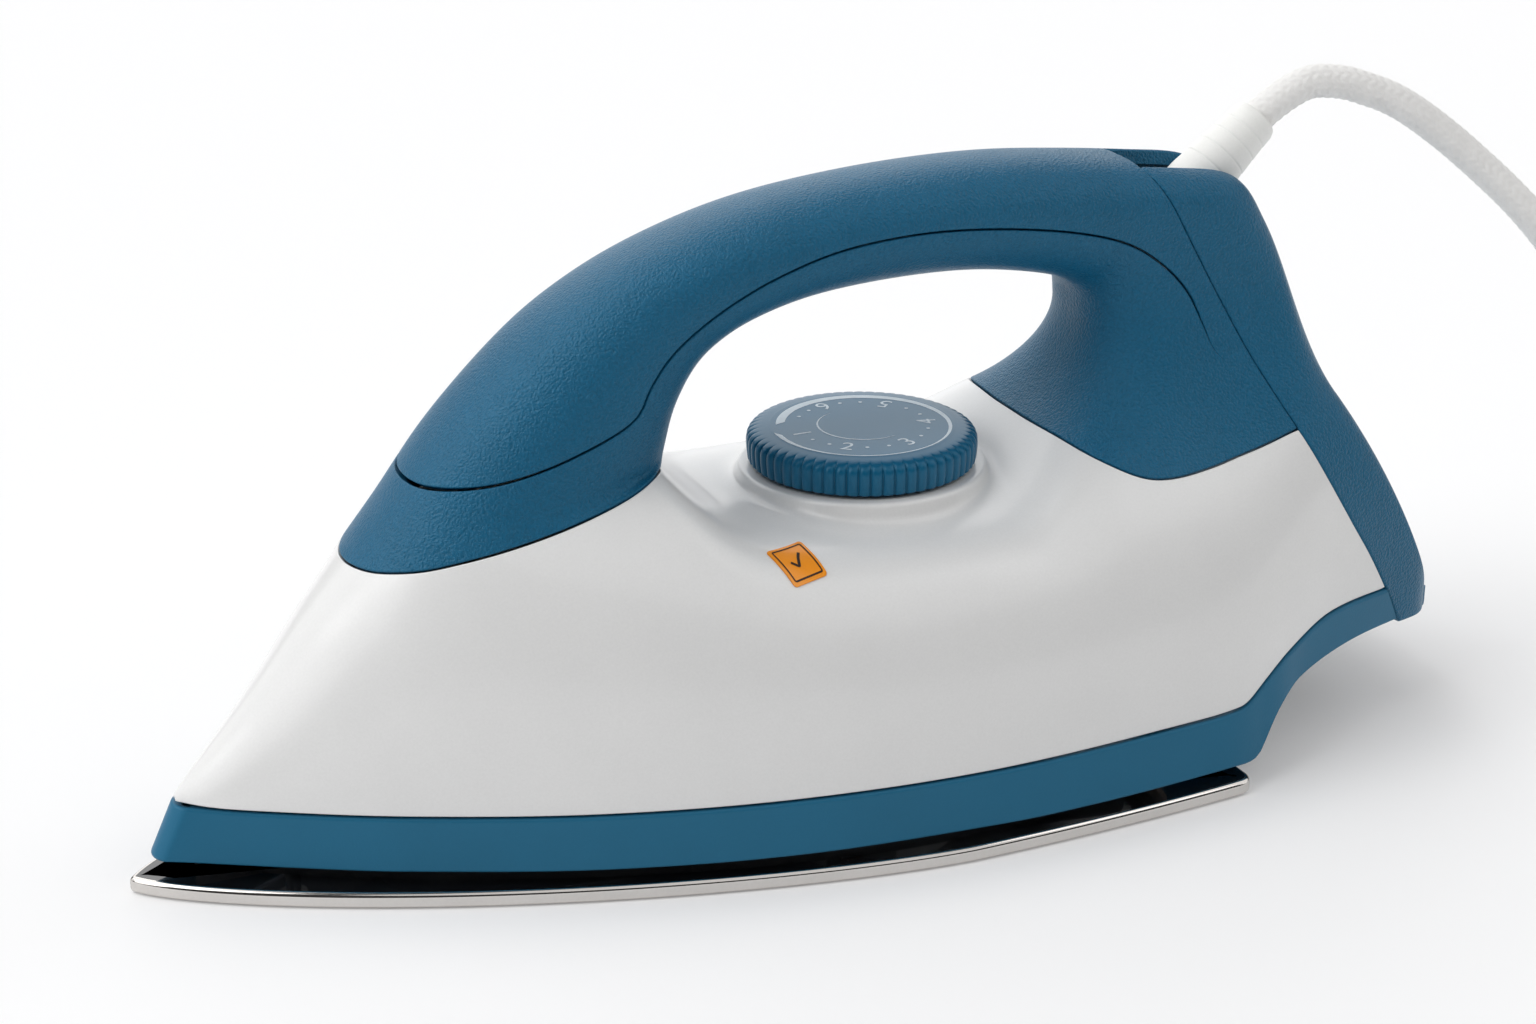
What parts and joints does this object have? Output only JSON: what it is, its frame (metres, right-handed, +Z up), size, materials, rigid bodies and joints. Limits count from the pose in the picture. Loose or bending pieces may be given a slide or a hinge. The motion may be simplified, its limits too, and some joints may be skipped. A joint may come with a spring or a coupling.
{
  "type": "electric dry iron",
  "caption": "Electric dry iron for melting wax into skis: polished pointed soleplate, white shell, blue arched handle with grip cover, ribbed heat dial, pivoting cord guard and braided cord.",
  "frame": {"origin": "centre of the flat ironing face", "axes": "-X towards the pointed nose, +X towards the heel and cord, +Z up out of the ironing face, y = 0 is the mirror plane of the housing"},
  "size_m": [0.3667, 0.1762, 0.1401],
  "materials": {
    "polished_sole": "polished",
    "cast_aluminium": "as cast",
    "element_sheath": "satin, heat-tinted",
    "ceramic_bead": "matte",
    "shield_sheet": "mill",
    "blue_skirt": "satin",
    "white_shell": "gloss",
    "blue_handle": "fine grain, satin",
    "blue_grip": "fine grain, satin",
    "screw_steel": "zinc plated",
    "orange_label": "printed film",
    "blue_dial": "satin, white print",
    "spindle_steel": "turned",
    "spring_steel": "oiled",
    "brass_bush": "turned",
    "zinc_sheet": "zinc plated",
    "bimetal": "rolled",
    "contact_brass": "rolled",
    "steatite": "matte",
    "fuse_sleeve": "woven glass sleeve",
    "block_plastic": "matte",
    "live_sleeve": "silicone",
    "neutral_sleeve": "silicone",
    "earth_sleeve": "silicone",
    "switched_sleeve": "silicone",
    "bearing_plastic": "matte",
    "white_guard": "satin",
    "braid": "woven",
    "pin_brass": "nickel plated"
  },
  "bodies": {
    "iron": {"sole_plate": "polished_sole", "sole_casting": "cast_aluminium", "heating_element": "element_sheath", "element_terminals": "ceramic_bead", "heat_shield": "shield_sheet", "base_skirt": "blue_skirt", "skirt_screws": "screw_steel", "body_shell": "white_shell", "handle_base": "blue_handle", "grip_cover": "blue_grip", "rear_cover": "blue_grip", "cover_screw": "screw_steel", "handle_screws": "screw_steel", "inspection_label": "orange_label", "spindle_bush": "brass_bush", "thermostat_bracket": "zinc_sheet", "thermostat_bimetal": "bimetal", "thermostat_contacts": "contact_brass", "thermostat_insulators": "steatite", "thermostat_screw": "screw_steel", "thermal_fuse": "fuse_sleeve", "terminal_block": "block_plastic", "terminal_screws": "screw_steel", "live_wire": "live_sleeve", "neutral_wire": "neutral_sleeve", "earth_wire": "earth_sleeve", "switched_wire": "switched_sleeve", "cord_clamp": "block_plastic", "clamp_screws": "screw_steel", "guard_bearings": "bearing_plastic", "cord": "braid", "plug_body": "white_guard", "plug_pins": "pin_brass"},
    "dial": {"dial": "blue_dial", "dial_spindle": "spindle_steel", "dial_clip": "spring_steel"},
    "cord_guard": {"cord_guard": "white_guard"}
  },
  "joints": [
    {"name": "dial_turn", "type": "hinge", "parent": "iron", "child": "dial", "pos_m": [0.0454, 0, 0.0673], "axis": [0, 0, 1], "range_deg": [0, 290]},
    {"name": "guard_rock", "type": "hinge", "parent": "iron", "child": "cord_guard", "pos_m": [0.1167, 0, 0.1116], "axis": [0, 1, 0], "range_deg": [-20, 25], "deforming": ["cord"]}
  ]
}
